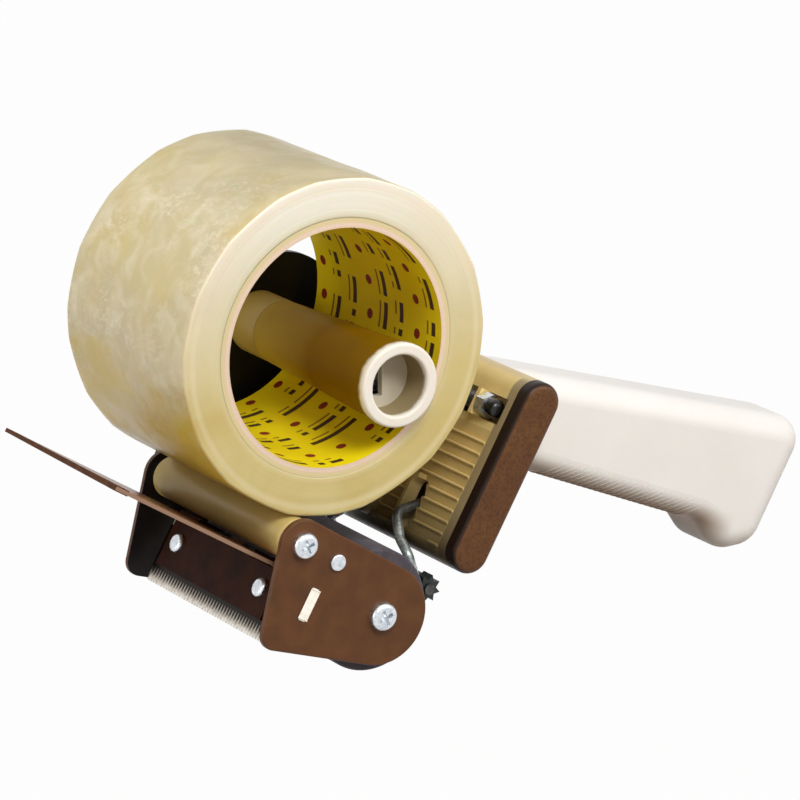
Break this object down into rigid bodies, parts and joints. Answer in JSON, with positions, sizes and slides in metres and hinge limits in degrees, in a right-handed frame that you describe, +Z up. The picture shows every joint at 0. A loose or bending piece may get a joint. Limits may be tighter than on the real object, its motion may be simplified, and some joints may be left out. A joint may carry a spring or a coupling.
{
  "type": "tape dispenser",
  "caption": "Pistol-grip packing tape dispenser with a wide roll on a core hub, wiper flap, toothed cutter and rubber press roller.",
  "frame": {"origin": "bottom centre of the bounding box of the whole tool, at the level of the press roller's and the pommel's lowest points", "axes": "+X from the wiper flap back to the handle, +Y from the open side of the roll to the frame plate, +Z up; all roller axes lie along Y"},
  "size_m": [0.2726, 0.1, 0.1617],
  "materials": {
    "plate_black": "satin",
    "plate_brown": "satin",
    "zinc": "satin",
    "blade_steel": "satin",
    "plate_red_brown": "gloss",
    "flap_brown": "satin",
    "dark_rubber": "matte",
    "tyre_rubber": "matte",
    "roller_tan": "satin",
    "core_plastic": "matte",
    "hub_tan": "satin",
    "hub_dark": "matte",
    "film": "gloss",
    "card_core": "matte",
    "liner_yellow": "matte",
    "housing_olive": "satin",
    "trim_brown": "satin",
    "knob_black": "gloss",
    "star_dark": "satin",
    "handle_cream": "satin",
    "spring_steel": "satin"
  },
  "bodies": {
    "frame": {"frame_plate": "plate_black", "head_plate_near": "plate_brown", "head_plate_far": "plate_brown", "tie_rod": "zinc", "tie_bar": "zinc", "cross_plate": "plate_red_brown", "cutter_blade": "blade_steel", "blade_spacers": "zinc", "blade_rivets": "zinc", "flap_hinge_pin": "zinc", "guide_axle": "zinc", "guide_screws": "zinc", "guide_washers": "zinc", "press_axle": "zinc", "press_screws": "zinc", "hub_bolt": "zinc", "hub_base": "hub_tan", "hub_washer": "zinc", "hub_nut": "zinc", "housing": "housing_olive", "trim_near": "trim_brown", "trim_far": "trim_brown", "housing_screws": "zinc", "handle_near": "handle_cream", "handle_far": "handle_cream", "handle_screws": "zinc", "mount_screws": "zinc"},
    "roll": {"tape_film": "film", "tape_core": "card_core", "core_liner": "liner_yellow"},
    "hub": {"hub_sleeve": "hub_tan", "hub_cap": "hub_dark"},
    "guide": {"guide_roller": "roller_tan"},
    "press": {"press_core": "core_plastic", "press_tyre": "tyre_rubber"},
    "keeper": {"keeper_arms": "zinc", "keeper_shaft": "zinc", "keeper_springs": "spring_steel"},
    "star": {"star_roller": "star_dark"},
    "flap": {"wiper_flap": "flap_brown", "flap_lip": "dark_rubber", "flap_springs": "spring_steel"},
    "adjuster": {"adjuster_spindle": "zinc", "adjuster_knob": "knob_black", "adjuster_nuts": "zinc"}
  },
  "joints": [
    {"name": "roll_spin", "type": "hinge", "parent": "frame", "child": "roll", "pos_m": [-0.05715, -0.0028, 0.10773], "axis": [0, 1, 0], "continuous": true},
    {"name": "hub_spin", "type": "hinge", "parent": "frame", "child": "hub", "pos_m": [-0.03827, -0.0028, 0.09341], "axis": [0, 1, 0], "continuous": true},
    {"name": "guide_spin", "type": "hinge", "parent": "frame", "child": "guide", "pos_m": [-0.07536, -0.0028, 0.0492], "axis": [0, 1, 0], "continuous": true},
    {"name": "press_spin", "type": "hinge", "parent": "frame", "child": "press", "pos_m": [-0.0484, -0.0028, 0.02], "axis": [0, 1, 0], "continuous": true},
    {"name": "keeper_swing", "type": "hinge", "parent": "frame", "child": "keeper", "pos_m": [0.00457, -0.0028, 0.07418], "axis": [0, -1, 0], "range_deg": [0, 3], "stiffness_Nm_per_rad": 0.05, "springref_deg": -17.19},
    {"name": "star_spin", "type": "hinge", "parent": "keeper", "child": "star", "pos_m": [-0.0235, -0.0028, 0.02001], "axis": [0, 1, 0], "continuous": true},
    {"name": "flap_swing", "type": "hinge", "parent": "frame", "child": "flap", "pos_m": [-0.07405, -0.0028, 0.0366], "axis": [0, 1, 0], "range_deg": [0, 10], "stiffness_Nm_per_rad": 0.02},
    {"name": "adjuster_turn", "type": "hinge", "parent": "frame", "child": "adjuster", "pos_m": [0.00457, -0.0028, 0.07418], "axis": [0, 1, 0], "range_deg": [-180, 180]}
  ],
  "couplings": [
    {"joint": "hub_spin", "follows": "roll_spin", "ratio": 2.8015},
    {"joint": "guide_spin", "follows": "roll_spin", "ratio": -7.7143},
    {"joint": "press_spin", "follows": "roll_spin", "ratio": -2.7},
    {"joint": "star_spin", "follows": "roll_spin", "ratio": 11.739}
  ]
}
